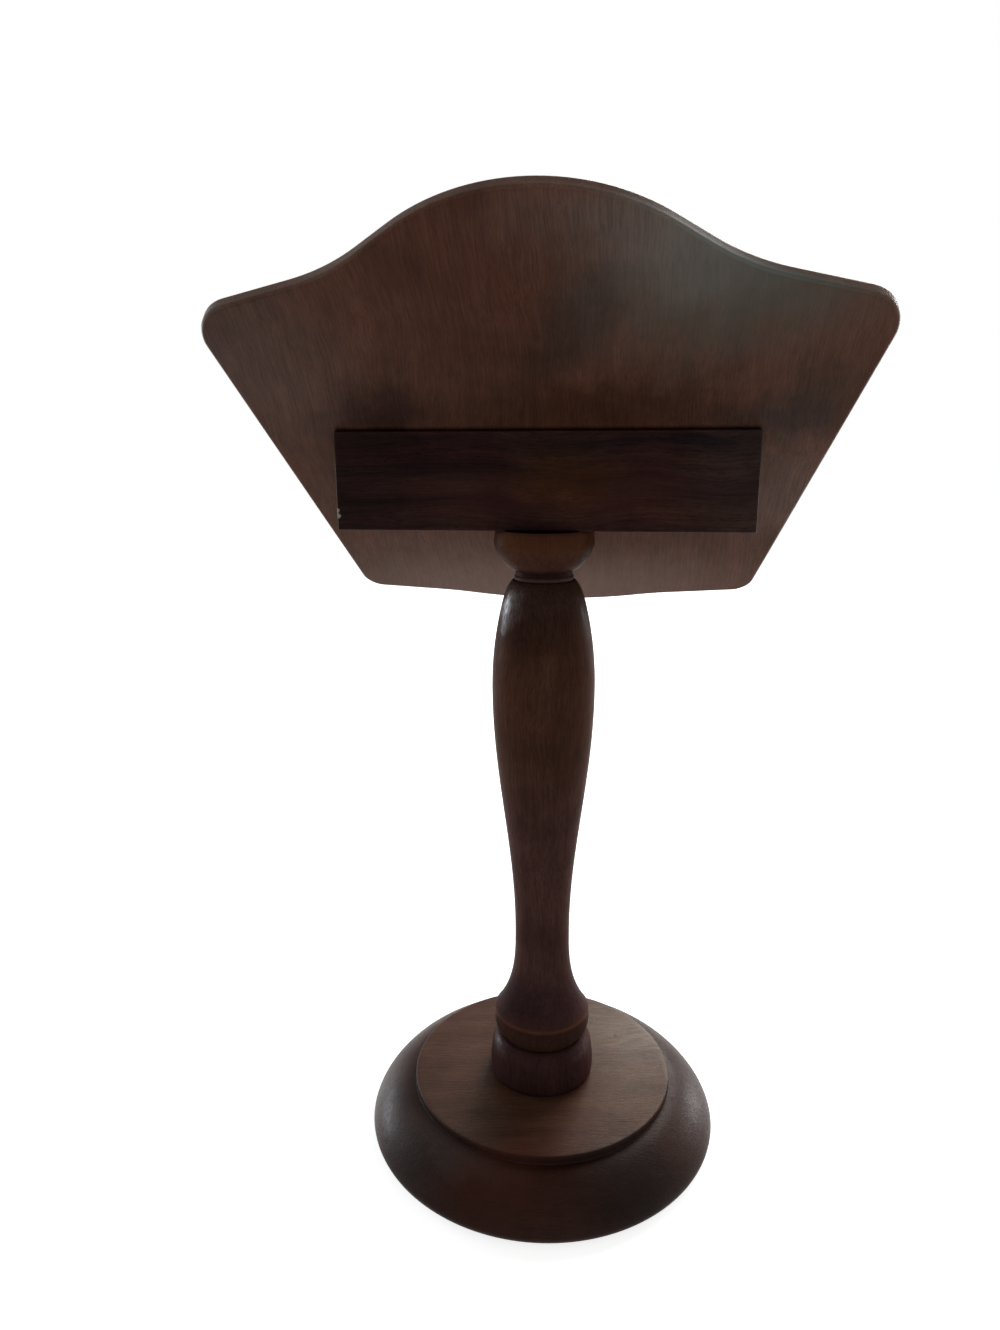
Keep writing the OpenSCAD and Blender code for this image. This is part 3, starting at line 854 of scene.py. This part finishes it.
# Painted glints, pale and grey, along the top edge.
for across, up, wide, high, strength in (
    (128, 380, 20, 18, 0.5),
    (68, 393, 26, 14, 0.22),
    (-60, 402, 56, 30, 0.3),
):
    painted_edge_glint = times(board_tree, board_spot(across, up, wide, high, 0, strength), painted_lit_top_edge)
    tint(board_wood, painted_edge_glint, stain(132, 132, 124))
in_front = board_layer(4.663, 5.963)
for across, up, wide, high, turn, strength in (
    (-52, 300, 46, 26, 8, 0.3),  # under the left hand
    (58, 304, 44, 24, -10, 0.35),  # under the right hand
    (4, 398, 60, 14, 0, 0.25),  # behind a book's upper edge
):
    rubbed = times(board_tree, board_spot(across, up, wide, high, turn, strength), in_front)
    tint(board_wood, rubbed, stain(134, 86, 66))
# Painted shade: the front face is darkened a little all over, against the stronger light on it.
tint(board_wood, times(board_tree, in_front, 0.3), stain(70, 42, 33))
shiny = plus(board_tree, *(
    board_spot(across, up, wide, high, turn, strength)
    for across, up, wide, high, turn, strength in (
        (-62, 405, 50, 25, 20, 0.45),
        (-28, 414, 56, 20, 0, 0.45),
        (118, 372, 60, 44, 0, 0.2),
        (-106, 316, 40, 36, 0, 0.25),
        (10, 260, 160, 48, 0, 0.3),
    )
))
polish(board_wood, times(board_tree, shiny, behind), streaks=0.3)
board.data.materials.append(board_wood)
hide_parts("book_board")
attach(board, "root")

# The ledge: a strip of hardwood set square to the board, on which a book stands. Its tapered back
# edge is glued in a trench in the board and pinned from behind.
ledge_half = 91
ledge_up = 17
ledge_thick = 10
ledge_front = -board_thick - 26
ledge = bar(
    "book_ledge_strip",
    (-ledge_half, ledge_front, ledge_up), (ledge_half, -board_thick, ledge_up + ledge_thick),
)
ease_edges(ledge, 0.9)
leaned(ledge)
ledge_wood = lacquered_wood(
    "ledge_wood", (0, 0, 0),
    dark=stain(34, 18, 14), middle=stain(86, 52, 41), light=stain(114, 74, 58),
    bare=stain(150, 112, 84),
    figure=0.6, pores=0.7, cloud=0.35, wear=0.5, shift=23.9,
)
ledge.data.materials.append(ledge_wood)
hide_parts("book_ledge")
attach(ledge, "root")

# The lip: a second strip glued along the front of the ledge, with a rounded top that holds the
# pages.
lip_thick = 7
lip_top = ledge_up + 19
lip_round = 3.45
lip = bar(
    "ledge_lip_strip",
    (-ledge_half, ledge_front - lip_thick, ledge_up), (ledge_half, ledge_front, lip_top),
)
lip_mesh = bmesh.from_edit_mesh(lip.data)
for edge in lip_mesh.edges:
    middle = (edge.verts[0].co + edge.verts[1].co) / 2
    edge.select = middle.z > (lip_top - 0.1) * mm and abs(middle.x) < 1 * mm
bmesh.update_edit_mesh(lip.data)
bpy.ops.mesh.bevel(offset=lip_round * mm, segments=8, affect="EDGES")
ease_edges(lip, 0.8)
leaned(lip)
lip.data.materials.append(ledge_wood)
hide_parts("ledge_lip")
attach(lip, "root")

# The screws: two countersunk brass screws through the board, and a plated steel screw with its
# washer under the base. The ledge's pins are steel too, and lie hidden in the wood.


def dulled_metal(name, scale, detail, bright, dull, colour_range, gloss_range, roughness):
    """Metal that has dulled in patches. The ranges say where in a noise the patches lie."""
    material, tree, surface, where = new_material(name)
    dulling = noise(tree, where, scale, detail)["Fac"]
    colour = blend_colour(tree, remap(tree, dulling, *colour_range), bright, dull)
    tree.links.new(colour, surface.inputs["Base Color"])
    surface.inputs["Metallic"].default_value = 1.0
    tree.links.new(remap(tree, dulling, *gloss_range, *roughness), surface.inputs["Roughness"])
    return material


brass = dulled_metal(
    "aged_brass", 420, 5, stain(138, 108, 64), stain(82, 60, 38),
    colour_range=(0.45, 0.7), gloss_range=(0.35, 0.75), roughness=(0.36, 0.6),
)
brass_tree = brass.node_tree
scratches = noise(brass_tree, on_object(brass_tree), scale=2600, detail=2)["Fac"]
brass_bump = place(brass_tree, "ShaderNodeBump", {
    "Strength": 0.12, "Distance": 0.1 * mm, "Height": scratches,
})
brass_tree.links.new(brass_bump.outputs[0], brass_tree.nodes["Principled BSDF"].inputs["Normal"])
steel = dulled_metal(
    "plated_steel", 300, 4, stain(188, 188, 184), stain(136, 134, 128),
    colour_range=(0.4, 0.7), gloss_range=(0.3, 0.7), roughness=(0.25, 0.5),
)
for node_name, metal in (
    ("board_screws", brass), ("base_screw", steel), ("base_washer", steel), ("ledge_pins", steel),
):
    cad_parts[node_name].data.materials.clear()
    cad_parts[node_name].data.materials.append(metal)

# The stage: a plain pale floor, three soft lamps and a plain sky. The camera stands behind the
# stand and a little above its head, as the photograph was taken.
white = (1, 1, 1, 1)
bpy.ops.object.select_all(action="DESELECT")
bpy.ops.mesh.primitive_plane_add(size=12, location=(0, 0, 0))
floor = bpy.context.object
floor.name = "floor"
floor_material = bpy.data.materials.new("pale_floor")
floor_material.use_nodes = True
floor_tree = floor_material.node_tree
floor_tree.nodes.clear()


def seen_directly(tree):
    """1 where a view, a reflection or glass shows the surface, and 0 for light that it sheds."""
    path = place(tree, "ShaderNodeLightPath").outputs
    rays = (path["Is Camera Ray"], path["Is Glossy Ray"], path["Is Transmission Ray"])
    return calculate(tree, "MAXIMUM", *rays)


floor_diffuse = place(floor_tree, "ShaderNodeBsdfDiffuse", {"Color": (0.82, 0.82, 0.82, 1)})
floor_lift = place(floor_tree, "ShaderNodeEmission", {
    "Color": white, "Strength": times(floor_tree, seen_directly(floor_tree), 0.8),
})
floor_both = place(floor_tree, "ShaderNodeAddShader", {
    0: floor_diffuse.outputs[0], 1: floor_lift.outputs[0],
})
place(floor_tree, "ShaderNodeOutputMaterial", {"Surface": floor_both.outputs[0]})
floor.data.materials.append(floor_material)

sky = bpy.data.worlds.new("plain_sky")
bpy.context.scene.world = sky
sky.use_nodes = True
sky_tree = sky.node_tree
sky_tree.nodes.clear()
sky_light = place(sky_tree, "ShaderNodeBackground", {"Color": white, "Strength": 0.28})
sky_seen = place(sky_tree, "ShaderNodeBackground", {"Color": white, "Strength": 1.0})
sky_both = place(sky_tree, "ShaderNodeMixShader", {
    0: seen_directly(sky_tree), 1: sky_light.outputs[0], 2: sky_seen.outputs[0],
})
place(sky_tree, "ShaderNodeOutputWorld", {"Surface": sky_both.outputs[0]})

stand_middle = Vector((0, 0, 0.2))
for lamp_name, hung_at, wide, high, power, colour in (
    ("window_behind", (-0.5, -1.3, 1.1), 0.9, 0.9, 30, (1, 0.99, 0.97)),
    ("window_left", (1.26, -0.58, 0.22), 0.5, 0.36, 7, (0.86, 0.92, 1)),
    ("window_right", (-1.05, -0.92, 0.27), 0.36, 0.4, 6, (1, 1, 1)),
):
    aim = (stand_middle - Vector(hung_at)).to_track_quat("-Z", "Y").to_euler()
    bpy.ops.object.light_add(type="AREA", location=hung_at, rotation=aim)
    lamp = bpy.context.object
    lamp.name = lamp_name
    lamp.data.shape = "RECTANGLE"
    lamp.data.size = wide
    lamp.data.size_y = high
    lamp.data.energy = power
    lamp.data.color = colour

camera_at = (-0.03144, 0.42, 0.3485)
camera_pitch = 75.516
camera_heading = 186.996
camera_roll = -0.378
focal_pixels = 950
photo_high_pixels = 1330
sensor_mm = 36
aim = Euler((math.radians(camera_pitch), 0, math.radians(camera_heading))).to_matrix()
aim = aim @ Matrix.Rotation(math.radians(camera_roll), 3, "Z")
bpy.ops.object.camera_add(location=camera_at, rotation=aim.to_euler())
camera = bpy.context.object
camera.data.lens = sensor_mm * focal_pixels / photo_high_pixels
camera.data.clip_start = 0.01
bpy.context.scene.camera = camera
bpy.context.scene.view_settings.view_transform = "Standard"
